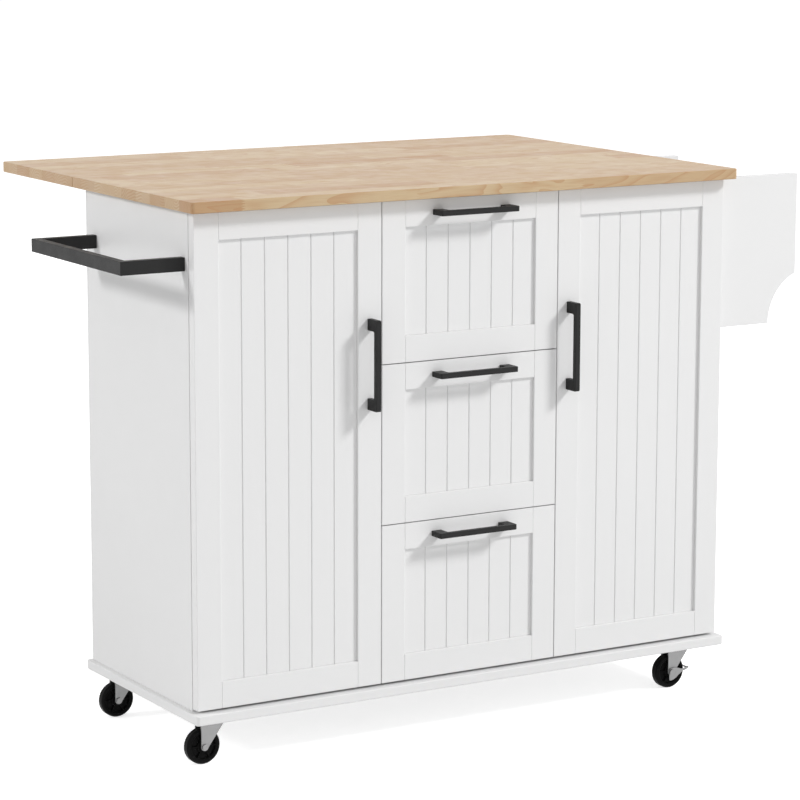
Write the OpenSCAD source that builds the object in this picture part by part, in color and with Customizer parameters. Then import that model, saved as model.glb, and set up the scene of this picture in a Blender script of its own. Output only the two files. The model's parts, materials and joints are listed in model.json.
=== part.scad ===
// Drop leaf kitchen island: a panelled cabinet on swivel casters with two doors,
// three drawers, a hinged worktop leaf on folding brackets, a towel bar on the
// left side and a rack on the right side. Millimetres, +Z up, floor at z = 0.

/* [Overall] */
// Height from the floor to the top of the worktop
total_h = 920; // [850:1:1110]
// Width of the cabinet between the outer faces of its sides
cab_w = 1023; // [840:1:1230]
// Depth of the cabinet from the faces of the doors to the back
cab_d = 395; // [370:1:480]
// Width of the worktop
top_w = 1050; // [870:1:1260]
// How far the worktop stands out in front of the doors
top_over_front = 22; // [5:1:60]
// How far the worktop stands out behind the cabinet
top_over_rear = 23; // [20:1:60]
// Depth of the folding leaf
leaf_d = 290; // [285:1:420]
// Slit between the worktop and the leaf
leaf_gap = 1; // [0.6:0.1:3]

/* [Boards] */
// Thickness of the cabinet boards
board_t = 16; // [12:1:20]
// Thickness of the worktop and its leaf
top_t = 18; // [15:1:40]
// Thickness of the doors and drawer fronts
front_t = 18; // [16:1:22]
// Thickness of the base board
base_t = 16; // [12:1:25]
// Thickness of the back panel
back_t = 3; // [2:0.5:8]
// How far the base stands out beside the cabinet
base_over_side = 9; // [0:1:40]
// How far the base stands out in front of the doors
base_over_front = 15; // [0:1:40]
// How far the base stands out behind the cabinet
base_over_rear = 7; // [0:1:20]
// Flat that breaks the edges of the painted boards
edge_ease = 0.6; // [0.2:0.1:1.5]
// Flat that breaks the edges of the worktop
top_ease = 1; // [0.3:0.1:3]
// Flat that breaks the edges of the base
base_ease = 1.5; // [0.5:0.5:3]
// Radius of the outer corners of the worktop, its leaf and the base
corner_r = 6; // [6:1:20]
// Heights that each shelf can be set to
shelf_steps = 3; // [1:2:7]
// Distance between these heights
shelf_pitch = 32; // [16:1:40]

/* [Doors and drawer fronts] */
// Gap between neighbouring fronts
front_gap = 1.5; // [1.5:0.5:4]
// Gap between the fronts and the base
base_gap = 4; // [2:0.5:8]
// Gap between the fronts and the worktop
head_gap = 2.5; // [2:0.5:8]
// Gap between the fronts and the front edges of the cabinet
carcass_gap = 2; // [1.8:0.1:4]
// Width of the stiles and rails
frame_w = 44; // [42:1:60]
// How far the panel lies behind the face of its frame
panel_recess = 5; // [3:0.5:9]
// Grooves in each panel
groove_n = 5; // [1:1:9]
// Width of a groove
groove_w = 2.5; // [1:0.5:5]
// Depth of a groove
groove_d = 2; // [1:0.5:3]
// Drawers in the middle column
drawer_n = 3; // [3:1:3]

/* [Handles] */
// Overall length of a handle
handle_l = 150; // [100:1:190]
// How far a handle stands out
handle_out = 30; // [24:1:45]
// Side of the square bar
handle_bar = 9; // [6:1:12]
// Length of a handle's foot
handle_foot = 19; // [12:1:30]
// Radius of a handle's corners
handle_r = 3; // [1:0.5:5]
// Height of the middle of the door handles
door_handle_z = 636; // [300:1:780]

/* [Drawers] */
// Thickness of a runner pair
runner_t = 12.7; // [10:0.1:16]
// Height of a runner
runner_h = 45; // [30:1:50]
// Length of a runner
runner_l = 340; // [250:1:345]
// Thickness of the drawer box boards
box_t = 12; // [9:1:15]
// Height of the drawer box
box_h = 180; // [120:1:200]
// Depth of the drawer box
box_d = 345; // [280:1:348]
// Thickness of the drawer bottom
bottom_t = 4; // [3:1:8]

/* [Hinges and leaf brackets] */
// Diameter of a door hinge's cup
cup_d = 35; // [26:1:35]
// Depth of a door hinge's cup
cup_depth = 11; // [9:0.5:12]
// Height of the door hinges from the ends of the door
cup_inset = 95; // [60:1:200]
// Radius of the leaf hinge's knuckles
knuckle_r = 4; // [3:0.5:5]
// Radius of the leaf hinge's pin
pin_r = 2; // [1:0.25:2.5]
// Length of one knuckle
knuckle_l = 12; // [8:1:20]
// Distance of the leaf brackets from the middle
bracket_x = 290; // [150:1:380]
// Depth of the brace's pivot below the leaf hinge
brace_drop = 75; // [60:1:90]
// Length of the brace between its two ends
brace_l = 185; // [150:1:188]

/* [Towel bar] */
// How far the towel bar stands out
bar_out = 112; // [60:1:150]
// Length of the towel bar along the cabinet
bar_l = 338; // [200:1:345]
// Height of the bar's section
bar_h = 22; // [12:1:40]
// Thickness of the bar's section
bar_t = 14; // [6:1:20]
// Distance of the bar from the faces of the doors
bar_y = 30; // [22:1:60]
// Distance from the bar's top to the top of the worktop
bar_drop = 92; // [40:1:300]

/* [Side rack] */
// Width of the rack's end panels
rack_w = 175; // [120:1:240]
// Width of their lower end
rack_foot_w = 117; // [80:1:120]
// Height of the rack's end panels
rack_h = 262; // [200:1:320]
// Height of their narrow part up to where the curve ends
rack_curve_h = 86; // [40:1:100]
// Height of the shelf's top above the lower end
rack_shelf_z = 142; // [120:1:180]
// Height of the guard above the shelf
rack_guard_h = 45; // [20:1:80]
// Diameter of the rod
rod_d = 16; // [8:1:25]
// Distance of the rod from the cabinet
rod_x = 62; // [40:1:80]
// Height of the rod above the lower end
rod_z = 28; // [15:1:40]

/* [Casters] */
// Overall height of a caster
caster_h = 77; // [76:1:100]
// Diameter of a wheel
wheel_d = 60; // [50:1:60]
// Width of a wheel's tread
wheel_w = 17; // [12:1:20]
// Distance from the swivel's axis to the wheel's axle
trail = 27; // [20:1:33]
// Distance of the swivels from the base's left and right edges
caster_in_x = 59; // [40:1:120]
// Distance of the swivels from the base's front and rear edges
caster_in_y = 48; // [40:1:100]

/* [Hidden] */
$fn = 48;
eps = 0.01;
running = 0.05;      // radial clearance of every pin that turns
glue = 0.05;         // width of a glued joint between two boards
white = "whitesmoke";
wood = "burlywood";
black = "dimgray";
steel = "silver";

// The cabinet's own frame: x = 0 in the middle, y = 0 at the faces of the fronts
half_w = cab_w / 2;
base_z = caster_h;
floor_z = base_z + base_t;               // top of the base, inside the cabinet
top_z = total_h - top_t;                 // underside of the worktop
carcass_y = front_t + carcass_gap;       // front edges of the cabinet boards
panel_y = cab_d - back_t;                // rear edges of the cabinet boards
seam_y = cab_d + top_over_rear + leaf_gap / 2;
inner_x = half_w - board_t;              // inner faces of the sides
stretcher_w = 60;
rail_h = 90;

// The part's frame: the origin is under the middle of the whole outline
origin_x = (bar_out - rack_w) / 2;
origin_y = -(seam_y + leaf_gap / 2 + leaf_d - handle_out) / 2;

// Fronts: three equal columns, the middle one with equal drawers
front_w = (cab_w - 2 * front_gap) / 3;
front_z = floor_z + base_gap;
front_h = top_z - head_gap - front_z;
drawer_h = (front_h - (drawer_n - 1) * front_gap) / drawer_n;
divider_x = round(5 * (front_w + front_gap)) / 10; // middle of a divider
bay_w = 2 * divider_x - board_t;         // clear width between the dividers
side_bay_w = inner_x - divider_x - board_t / 2;
side_bay_x = inner_x - side_bay_w / 2;   // middle of a side bay
door_x = half_w - front_w / 2;           // middle of a door

// Door hinges: each door turns about a line this far inside its outer edge and behind its face
door_axis_in = 6.5;
cup_x = half_w - frame_w / 2;
cup_play = 0.1;
cup_wall = 2.4;
cup_floor = 1;
cup_flange = [28, 56, 1.2];
seat_gap = 0.3;
arm_w = 16;
arm_plate = [4, 32, 48];
arm_head = [10, 2, 36];

// Shelves
shelf_z = floor_z + 0.5 * (top_z - floor_z);
shelf_play = 1;
shelf_setback = 6;
shelf_pin_r = 2.5;
shelf_pin_in = 9;
shelf_pin_out = 9;
shelf_pin_y = 45;

// Leaf hinge and brackets, seen from the right with the hinge's axis at [0, 0]
axis_drop = knuckle_r + 0.5;
axis_z = top_z - axis_drop;
flap_t = 1.5;
flap_l = 30;
plate_l = seam_y - cab_d - 0.5;          // ends just behind the back panel
flap_clear = knuckle_r + 1;
knuckle_n = 5;
knuckle_gap = 0.3;
hinge_w = knuckle_n * knuckle_l;
hinge_xs = [-top_w / 2 + 95, -140, 140, top_w / 2 - 95];
leg_t = 2;
leg_w = 20;
slot_line = -3;                          // height of the slot from the hinge's axis
slot_r = 3.5;
leaf_leg_h = axis_drop - slot_line + 7;
leaf_leg_start = 12;
leaf_leg_l = 274;
brace_w = 12;
brace_t = 3;
brace_play = 0.3;
rivet_r = 3;
wall_leg_top = 12;
brace_rise = brace_drop + slot_line;
brace_reach = sqrt(brace_l * brace_l - brace_rise * brace_rise);
brace_angle = acos(brace_rise / brace_l);      // from upright, with the leaf up
rivet_head_r = 5;
rivet_head_t = 1.2;

// Drawer boxes and runners
box_w = bay_w - 2 * runner_t;
box_lift = 28;
runner_lift = 30;
runner_wall = 1.2;
runner_play = 0.5;
runner_flange = runner_t - 2;            // depth of the runner's channel
bottom_lift = 10;
bottom_in = 5;                           // depth of the groove that holds the bottom
drawer_travel = runner_l - 70;

// Rack
rack_z = top_z - 2 - rack_h;
rack_y1 = panel_y - board_t;

// Casters, with the swivel's axis at [0, 0]
plate_s = 42;
plate_t = 2.5;
fork_t = 2.5;
fork_top_z = caster_h - 6;               // top of the fork's crown
fork_gap = wheel_w / 2 + 1;
crown_out = 10;                          // how far the crown reaches in front of the kingpin
race_r = 12;
king_r = 4;
axle_r = 3;
axle_z = wheel_d / 2;
hub_side = 0.5;
caster_xs = half_w + base_over_side - caster_in_x;
caster_y0 = caster_in_y - base_over_front;
caster_y1 = cab_d + base_over_rear - caster_in_y;
leg_end_r = 6.5;                         // round end of a fork's leg
axle_head_r = 5;
axle_head_t = 1.8;
brake_play = 0.3;
brake_t = 1.5;
brake_reach = 36;
pedal_l = 4.5;
wheel_rim = 8;
wheel_ribs = 6;
rib_t = 2;
plain_axle = fork_gap + fork_t + axle_head_t + running;
brake_axle = plain_axle + brake_t + 2 * brake_play;

// Where things turn and slide
echo(leaf_hinge_y = seam_y, leaf_hinge_z = axis_z, brace_pivot_y = seam_y + slot_line,
    brace_pivot_z = axis_z - brace_drop, brace_turns_per_leaf_turn = (180 - brace_angle) / 90);
echo(door_axis_in = door_axis_in, drawer_travel = drawer_travel, caster_x = caster_xs,
    caster_y = [caster_y0, caster_y1], axle_z = axle_z);

// ---------------------------------------------------------------- helpers

// Rectangle with its corners cut off
module eased_square(a, b, e)
    polygon([[e, 0], [a - e, 0], [a, e], [a, b - e], [a - e, b], [e, b], [0, b - e], [0, e]]);

// Board from one corner, with a small flat along every edge
module board(size, ease = edge_ease)
    intersection() {
        linear_extrude(size.z) eased_square(size.x, size.y, ease);
        translate([0, size.y, 0]) rotate([90, 0, 0])
            linear_extrude(size.y) eased_square(size.x, size.z, ease);
        rotate([90, 0, 90]) linear_extrude(size.x) eased_square(size.y, size.z, ease);
    }

// Board with upright corners rounded at its front, at its back or at both
module rounded_board(size, ease, front = true, back = true) {
    y0 = front ? 0 : -2 * corner_r;
    y1 = back ? size.y : size.y + 2 * corner_r;
    intersection() {
        board(size, ease);
        linear_extrude(size.z) {
            translate([corner_r, y0]) square([size.x - 2 * corner_r, y1 - y0]);
            translate([0, y0 + corner_r]) square([size.x, y1 - y0 - 2 * corner_r]);
            for (x = [corner_r, size.x - corner_r], y = [y0 + corner_r, y1 - corner_r])
                translate([x, y]) circle(r = corner_r);
        }
    }
}

// Moves a child from the cabinet's frame to the part's frame
module place() translate([origin_x, origin_y, 0]) children();

// Turns a profile drawn in y and z into a plate that is w wide along +x
module side_plate(w) rotate([90, 0, 90]) linear_extrude(w) children();

// ---------------------------------------------------------------- cabinet

module base_board()
    color(white) place()
        translate([-half_w - base_over_side, -base_over_front, base_z])
            rounded_board([cab_w + 2 * base_over_side, base_over_front + cab_d + base_over_rear, base_t],
                base_ease);

// Bores for shelf pins at every height that the shelf can be set to
module pin_bores(x, dir)
    for (y = [carcass_y + shelf_pin_y, panel_y - shelf_pin_y], i = [0:shelf_steps - 1])
        translate([x - dir * eps, y, shelf_z - shelf_pin_r + (i - (shelf_steps - 1) / 2) * shelf_pitch])
            rotate([0, dir * 90, 0])
                cylinder(r = shelf_pin_r + running, h = shelf_pin_in + eps);

// Upright board whose inner face, on the side given by dir, takes the shelf pins
module upright(x, h, dir)
    difference() {
        translate([x, carcass_y, floor_z]) board([board_t, panel_y - carcass_y, h]);
        pin_bores(dir > 0 ? x + board_t : x, -dir);
    }

module left_side() color(white) place() upright(-half_w, top_z - floor_z, 1);
module right_side() color(white) place() upright(inner_x, top_z - floor_z, -1);
module left_divider()
    color(white) place() upright(-divider_x - board_t / 2, top_z - board_t - floor_z, -1);
module right_divider()
    color(white) place() upright(divider_x - board_t / 2, top_z - board_t - floor_z, 1);

module top_stretchers()
    color(white) place()
        for (y = [carcass_y, panel_y - stretcher_w])
            translate([-inner_x, y, top_z - board_t]) board([2 * inner_x, stretcher_w, board_t]);

module back_panel()
    color(white) place()
        translate([-half_w, panel_y, floor_z]) board([cab_w, back_t, top_z - floor_z], edge_ease / 2);

// Rails behind the back panel's top edge, which the leaf brackets are screwed to
module mounting_rails()
    color(white) place()
        for (bay = [[-side_bay_x, side_bay_w], [0, bay_w], [side_bay_x, side_bay_w]])
            translate([bay[0] - bay[1] / 2, panel_y - board_t, top_z - board_t - rail_h])
                board([bay[1], board_t, rail_h]);

module shelf(mid_x) {
    w = side_bay_w - 2 * shelf_play;
    translate([mid_x - w / 2, carcass_y + shelf_setback, shelf_z])
        board([w, panel_y - carcass_y - 2 * shelf_setback, board_t]);
}
module left_shelf() color(white) place() shelf(-side_bay_x);
module right_shelf() color(white) place() shelf(side_bay_x);

// Pins under the shelves: a shank in the board and a longer stub under the shelf
module shelf_pins()
    color(steel) place()
        for (s = [-1, 1], y = [carcass_y + shelf_pin_y, panel_y - shelf_pin_y])
            translate([0, y, shelf_z - shelf_pin_r])
                for (face = [[inner_x, 1], [divider_x + board_t / 2, -1]])
                    translate([s * face[0], 0, 0])
                        rotate([0, s * face[1] * 90, 0])
                            translate([0, 0, -shelf_pin_out])
                                cylinder(r = shelf_pin_r, h = shelf_pin_out + shelf_pin_in - 1);

// ---------------------------------------------------------------- worktop and leaf

module fixed_top()
    color(wood) place()
        translate([-top_w / 2, -top_over_front, top_z])
            rounded_board([top_w, top_over_front + seam_y - leaf_gap / 2, top_t], top_ease, back = false);

module drop_leaf()
    color(wood) place()
        translate([-top_w / 2, seam_y + leaf_gap / 2, top_z])
            rounded_board([top_w, leaf_d, top_t], top_ease, front = false);

// One side of a leaf hinge, with the axis along x at the origin. dir is -1 for
// the worktop's plate and 1 for the leaf's flap; first is its first knuckle.
module hinge_half(dir, first) {
    lo = axis_drop - flap_t;
    l = dir > 0 ? flap_l : plate_l;
    difference() {
        union() {
            translate([-hinge_w / 2, dir > 0 ? flap_clear : -l, lo]) cube([hinge_w, l - flap_clear, flap_t]);
            for (i = [first:2:knuckle_n - 1])
                translate([-hinge_w / 2 + i * knuckle_l + knuckle_gap / 2, 0, 0]) {
                    translate([0, dir > 0 ? 0 : -flap_clear, lo])
                        cube([knuckle_l - knuckle_gap, flap_clear, flap_t]);
                    rotate([0, 90, 0]) cylinder(r = knuckle_r, h = knuckle_l - knuckle_gap);
                }
        }
        translate([-hinge_w / 2 - 1, 0, 0]) rotate([0, 90, 0]) cylinder(r = pin_r + running, h = hinge_w + 2);
    }
}

module leaf_hinge_plates()
    color(steel) place()
        for (x = hinge_xs)
            translate([x, seam_y, axis_z]) {
                hinge_half(-1, 0);
                translate([-hinge_w / 2, 0, 0]) rotate([0, 90, 0]) cylinder(r = pin_r, h = hinge_w);
            }

module leaf_hinge_flaps()
    color(steel) place() for (x = hinge_xs) translate([x, seam_y, axis_z]) hinge_half(1, 1);

// Puts a left and a right bracket part at their places, with the hinge's axis at the origin
module bracket_pair()
    for (s = [-1, 1])
        translate([s * bracket_x, seam_y, axis_z]) mirror([s < 0 ? 1 : 0, 0, 0]) children();

// Leg on the back of the cabinet, with an ear that carries the brace's rivet
module bracket_wall_legs() {
    back_y = cab_d - seam_y;
    ear_y = slot_line + brace_w / 2;
    low_z = -brace_drop - 20;
    ear_x = -3 * brace_play - brace_t - leg_t;
    color(black) place() bracket_pair() {
        difference() {
            union() {
                translate([ear_x - leg_w + leg_t, back_y, low_z])
                    cube([leg_w, leg_t, -wall_leg_top - low_z]);
                translate([ear_x, 0, 0]) side_plate(leg_t)
                    polygon([[back_y, low_z], [ear_y - 6, low_z], [ear_y, low_z + 8],
                        [ear_y, -brace_drop + 9], [back_y + 9, -wall_leg_top], [back_y, -wall_leg_top]]);
            }
            translate([ear_x - 1, slot_line, -brace_drop])
                rotate([0, 90, 0]) cylinder(r = rivet_r + running, h = leg_t + 2);
        }
        translate([ear_x - rivet_head_t, slot_line, -brace_drop]) rotate([0, 90, 0]) {
            cylinder(r = rivet_head_r, h = rivet_head_t);
            cylinder(r = rivet_r, h = rivet_head_t + leg_t + brace_play + brace_t);
        }
    }
}

// Leg under the leaf, with the slot that the brace's end runs along
module bracket_leaf_legs()
    color(black) place() bracket_pair() {
        translate([0, leaf_leg_start, axis_drop - leg_t]) cube([leg_w, leaf_leg_l - leaf_leg_start, leg_t]);
        difference() {
            side_plate(leg_t)
                polygon([[leaf_leg_start, axis_drop - leg_t / 2],
                    [leaf_leg_start + 6, axis_drop - leaf_leg_h],
                    [leaf_leg_l - 6, axis_drop - leaf_leg_h],
                    [leaf_leg_l, axis_drop - leg_t / 2]]);
            for (y = [slot_line + brace_reach, brace_drop + brace_l])
                translate([-1, y, slot_line]) rotate([0, 90, 0]) cylinder(r = slot_r, h = leg_t + 2);
            translate([-1, slot_line + brace_reach, slot_line - slot_r])
                cube([leg_t + 2, brace_drop + brace_l - slot_line - brace_reach, 2 * slot_r]);
        }
    }

// Brace that turns on the wall leg's rivet
module bracket_braces()
    color(black) place() bracket_pair()
        translate([-brace_play - brace_t, slot_line, -brace_drop])
            rotate([-brace_angle, 0, 0])
                difference() {
                    side_plate(brace_t) union() {
                        translate([-brace_w / 2, 0]) square([brace_w, brace_l]);
                        circle(r = brace_w / 2);
                        translate([0, brace_l]) circle(r = brace_w / 2);
                    }
                    translate([-1, 0, 0]) rotate([0, 90, 0]) cylinder(r = rivet_r + running, h = brace_t + 2);
                }

// ---------------------------------------------------------------- doors and fronts

// Stiles and rails round a w by h front whose lower left corner is at the origin
module front_frame(w, h) {
    for (x = [0, w - frame_w]) translate([x, 0, 0]) board([frame_w, front_t, h]);
    for (z = [0, h - frame_w])
        translate([frame_w + glue, 0, z]) board([w - 2 * frame_w - 2 * glue, front_t, frame_w]);
}

// Grooved panel that fills the frame from behind
module front_panel(w, h) {
    pw = w - 2 * frame_w;
    pitch = pw / (groove_n + 1);
    translate([frame_w, 0, frame_w])
        linear_extrude(h - 2 * frame_w)
            difference() {
                translate([0, panel_recess]) square([pw, front_t - panel_recess]);
                for (i = [1:groove_n])
                    translate([i * pitch, panel_recess])
                        polygon([[-groove_w / 2, -eps], [groove_w / 2, -eps], [0, groove_d]]);
            }
}

// Bar handle along x, centred on the origin, standing out from y = 0
module handle() {
    bar_in = handle_out - handle_bar;
    gap = handle_l - 2 * handle_foot;
    translate([-handle_l / 2, 0, -handle_bar / 2])
        linear_extrude(handle_bar)
            mirror([0, 1]) difference() {
                union() {
                    square([handle_l, handle_out - handle_r]);
                    translate([handle_r, 0]) square([handle_l - 2 * handle_r, handle_out]);
                    for (x = [handle_r, handle_l - handle_r])
                        translate([x, handle_out - handle_r]) circle(r = handle_r);
                }
                translate([handle_foot, -1]) square([gap, 1 + bar_in - handle_r]);
                translate([handle_foot + handle_r, -1]) square([gap - 2 * handle_r, 1 + bar_in]);
                for (x = [handle_foot + handle_r, handle_foot + gap - handle_r])
                    translate([x, bar_in - handle_r]) circle(r = handle_r);
            }
}

module door(s) translate([s * door_x - front_w / 2, 0, front_z]) children();

// A door's frame, bored from behind for the hinge cups. s is -1 left, 1 right.
module door_frame(s)
    difference() {
        door(s) front_frame(front_w, front_h);
        cup_places(s) cylinder(d = cup_d, h = cup_depth + eps);
    }

// Puts a child at each cup, with +z pointing into the cabinet from the cup's floor
module cup_places(s)
    for (z = [front_z + cup_inset, front_z + front_h - cup_inset])
        translate([s * cup_x, front_t - cup_depth, z]) rotate([-90, 0, 0]) children();

// Pressed steel cups with a flange on the back of the stile
module hinge_cups(s)
    color(steel) place() cup_places(s)
        difference() {
            union() {
                cylinder(d = cup_d - 2 * cup_play, h = cup_depth);
                translate([-cup_flange.x / 2, -cup_flange.y / 2, cup_depth]) cube(cup_flange);
            }
            translate([0, 0, cup_floor]) cylinder(d = cup_d - 2 * cup_wall, h = cup_depth + cup_flange.z);
        }

// Hinge arms on the sides: a mounting plate, an arm, and a head that meets the cup's flange
module hinge_arms() {
    head_y = front_t + cup_flange.z + seat_gap;
    color(steel) place()
        for (s = [-1, 1], z = [front_z + cup_inset, front_z + front_h - cup_inset])
            translate([s * inner_x, 0, z]) mirror([s > 0 ? 1 : 0, 0, 0]) {
                translate([0, carcass_y + 17, -arm_plate.z / 2]) cube(arm_plate);
                translate([arm_plate.x, 0, 0]) linear_extrude(arm_w, center = true)
                    polygon([[0, carcass_y + 12], [0, carcass_y + 55], [6, carcass_y + 55],
                        [9, carcass_y + 15], [9, head_y], [-1, head_y], [-1, carcass_y + 12]]);
                translate([arm_plate.x - 1, head_y, -arm_head.z / 2]) cube(arm_head);
            }
}

module door_panel(s) color(white) place() door(s) front_panel(front_w, front_h);
module door_handle(s)
    color(black) place()
        translate([s * (half_w - front_w + frame_w / 2), 0, door_handle_z])
            rotate([0, 90, 0]) handle();

module left_door_frame() color(white) place() door_frame(-1);
module left_door_panel() door_panel(-1);
module left_door_handle() door_handle(-1);
module left_hinge_cups() hinge_cups(-1);
module right_door_frame() color(white) place() door_frame(1);
module right_door_panel() door_panel(1);
module right_door_handle() door_handle(1);
module right_hinge_cups() hinge_cups(1);

// ---------------------------------------------------------------- drawers

// Puts a child at the lower left corner of drawer i's front, counted from below
module drawer(i)
    place() translate([-front_w / 2, 0, front_z + i * (drawer_h + front_gap)]) children();

module drawer_frame(i) color(white) drawer(i) front_frame(front_w, drawer_h);
module drawer_panel(i) color(white) drawer(i) front_panel(front_w, drawer_h);
module drawer_handle(i)
    color(black) drawer(i) translate([front_w / 2, 0, drawer_h - frame_w / 2]) handle();

// Box behind the front: two sides, a front and a back board, and a bottom let into a groove all round
module drawer_box(i) {
    in_w = box_w - 2 * box_t;
    out = bottom_in - glue;
    color(white) place() translate([0, front_t, front_z + i * (drawer_h + front_gap) + box_lift]) {
        difference() {
            union() {
                for (x = [-box_w / 2, box_w / 2 - box_t]) translate([x, 0, 0]) board([box_t, box_d, box_h]);
                for (y = [0, box_d - box_t])
                    translate([glue - in_w / 2, y, 0]) board([in_w - 2 * glue, box_t, box_h]);
            }
            translate([-in_w / 2 - bottom_in, box_t - bottom_in, bottom_lift - glue])
                cube([in_w + 2 * bottom_in, box_d - 2 * (box_t - bottom_in), bottom_t + 2 * glue]);
        }
        translate([-in_w / 2 - out, box_t - out, bottom_lift])
            cube([in_w + 2 * out, box_d - 2 * (box_t - out), bottom_t]);
    }
}

// Channel section of a runner, open towards +x: t thick, h high
module runner_section(t, h)
    difference() {
        translate([0, -h / 2]) square([t, h]);
        translate([runner_wall, -h / 2 + runner_wall]) square([t, h - 2 * runner_wall]);
    }

module runner(t, h)
    rotate([90, 0, 0]) translate([0, 0, -runner_l]) linear_extrude(runner_l) runner_section(t, h);

// Puts a left and a right runner at drawer i, with x = 0 on the divider's face
module runner_pair(i)
    place()
        for (s = [-1, 1])
            translate([s * bay_w / 2, carcass_y + 1,
                front_z + i * (drawer_h + front_gap) + box_lift + runner_lift + runner_h / 2])
                mirror([s > 0 ? 1 : 0, 0, 0]) children();

// Rails on the drawer box, which slide in the runners
module drawer_rails(i) {
    h = runner_h - 2 * runner_wall - 2 * runner_play;
    color(steel) runner_pair(i)
        translate([runner_t, 0, 0]) mirror([1, 0, 0]) runner(runner_t - runner_wall - runner_play, h);
}

module drawer_runners()
    color(steel) for (i = [0:drawer_n - 1]) runner_pair(i) runner(runner_flange, runner_h);

module lower_drawer_frame() drawer_frame(0);
module lower_drawer_panel() drawer_panel(0);
module lower_drawer_handle() drawer_handle(0);
module lower_drawer_box() drawer_box(0);
module lower_drawer_rails() drawer_rails(0);
module middle_drawer_frame() drawer_frame(1);
module middle_drawer_panel() drawer_panel(1);
module middle_drawer_handle() drawer_handle(1);
module middle_drawer_box() drawer_box(1);
module middle_drawer_rails() drawer_rails(1);
module upper_drawer_frame() drawer_frame(2);
module upper_drawer_panel() drawer_panel(2);
module upper_drawer_handle() drawer_handle(2);
module upper_drawer_box() drawer_box(2);
module upper_drawer_rails() drawer_rails(2);

// ---------------------------------------------------------------- towel bar and rack

module towel_bar()
    color(black) place()
        translate([-half_w - bar_out, bar_y, total_h - bar_drop - bar_h])
            difference() {
                board([bar_out, bar_l, bar_h]);
                translate([bar_t, bar_t, -1]) cube([bar_out, bar_l - 2 * bar_t, bar_h + 2]);
            }

// End panel of the rack, with a round bite out of its lower outer corner
module rack_panel(y) {
    bite_w = rack_w - rack_foot_w;
    bite_r = (bite_w * bite_w + rack_curve_h * rack_curve_h) / (2 * bite_w);
    color(white) place()
        translate([half_w, y, rack_z])
            difference() {
                board([rack_w, board_t, rack_h]);
                translate([rack_foot_w + bite_r, -1, 0]) rotate([-90, 0, 0])
                    cylinder(r = bite_r, h = board_t + 2, $fn = 96);
            }
}
module rack_front_panel() rack_panel(carcass_y);
module rack_rear_panel() rack_panel(rack_y1);

module rack_shelf()
    color(white) place()
        translate([half_w, carcass_y + board_t, rack_z + rack_shelf_z - board_t])
            board([rack_w - board_t, rack_y1 - carcass_y - board_t, board_t]);

module rack_guard()
    color(white) place()
        translate([half_w + rack_w - board_t, carcass_y + board_t, rack_z + rack_shelf_z - board_t])
            board([board_t, rack_y1 - carcass_y - board_t, board_t + rack_guard_h]);

module rack_rod()
    color(white) place()
        translate([half_w + rod_x, carcass_y + board_t, rack_z + rod_z])
            rotate([-90, 0, 0]) cylinder(d = rod_d, h = rack_y1 - carcass_y - board_t);

// ---------------------------------------------------------------- casters

// Puts a child at a caster's swivel axis, on the floor
module caster(sx, y) place() translate([sx * caster_xs, y, 0]) children();

// Plates with a ball race and the kingpin that the fork hangs on
module caster_plates()
    color(steel)
        for (sx = [-1, 1], y = [caster_y0, caster_y1]) caster(sx, y) {
            translate([-plate_s / 2, -plate_s / 2, caster_h - plate_t]) cube([plate_s, plate_s, plate_t]);
            translate([0, 0, fork_top_z + seat_gap])
                cylinder(r1 = race_r - 2, r2 = race_r, h = caster_h - plate_t - fork_top_z - seat_gap);
            translate([0, 0, fork_top_z - fork_t - seat_gap - 0.6])
                cylinder(r = king_r, h = fork_t + 2 * seat_gap + 0.6);
            translate([0, 0, fork_top_z - fork_t - seat_gap - 1.4]) cylinder(r = king_r + 2, h = 1.4);
        }

// Outline of a fork's leg in x and z: upright behind the axle, slanting in front of it
module fork_leg() {
    difference() {
        union() {
            translate([-trail, axle_z]) circle(r = leg_end_r);
            polygon([[-trail - leg_end_r, axle_z], [-trail - leg_end_r, fork_top_z],
                [crown_out - 2, fork_top_z], [crown_out - 2, fork_top_z - fork_t - 1],
                [-trail + 0.7 * leg_end_r, axle_z - 0.6 * leg_end_r]]);
        }
        translate([-trail, axle_z]) circle(r = axle_r + running);
    }
}

// Pressed fork that swivels on the kingpin, with the wheel's axle in its legs
module fork(sx, y, axle_half)
    color(steel) caster(sx, y) {
        difference() {
            union() {
                translate([-trail - leg_end_r, -fork_gap - fork_t, fork_top_z - fork_t])
                    cube([trail + leg_end_r + crown_out, 2 * (fork_gap + fork_t), fork_t]);
                for (side = [-1, 1])
                    translate([0, side * (fork_gap + fork_t / 2) + fork_t / 2, 0])
                        rotate([90, 0, 0]) linear_extrude(fork_t) fork_leg();
            }
            cylinder(r = king_r + running, h = caster_h);
        }
        translate([-trail, 0, axle_z]) rotate([90, 0, 0]) {
            cylinder(r = axle_r, h = 2 * axle_half, center = true);
            for (side = [0, 1])
                mirror([0, 0, side])
                    translate([0, 0, axle_half - axle_head_t]) cylinder(r = axle_head_r, h = axle_head_t);
        }
    }

// Pockets in one side of a wheel, between its hub, its rim and its ribs
module wheel_pockets()
    difference() {
        circle(r = wheel_d / 2 - wheel_rim - 0.5);
        circle(r = 11);
        for (i = [1:wheel_ribs])
            rotate(i * 360 / wheel_ribs) translate([0, -rib_t / 2]) square([wheel_d, rib_t]);
    }

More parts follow.
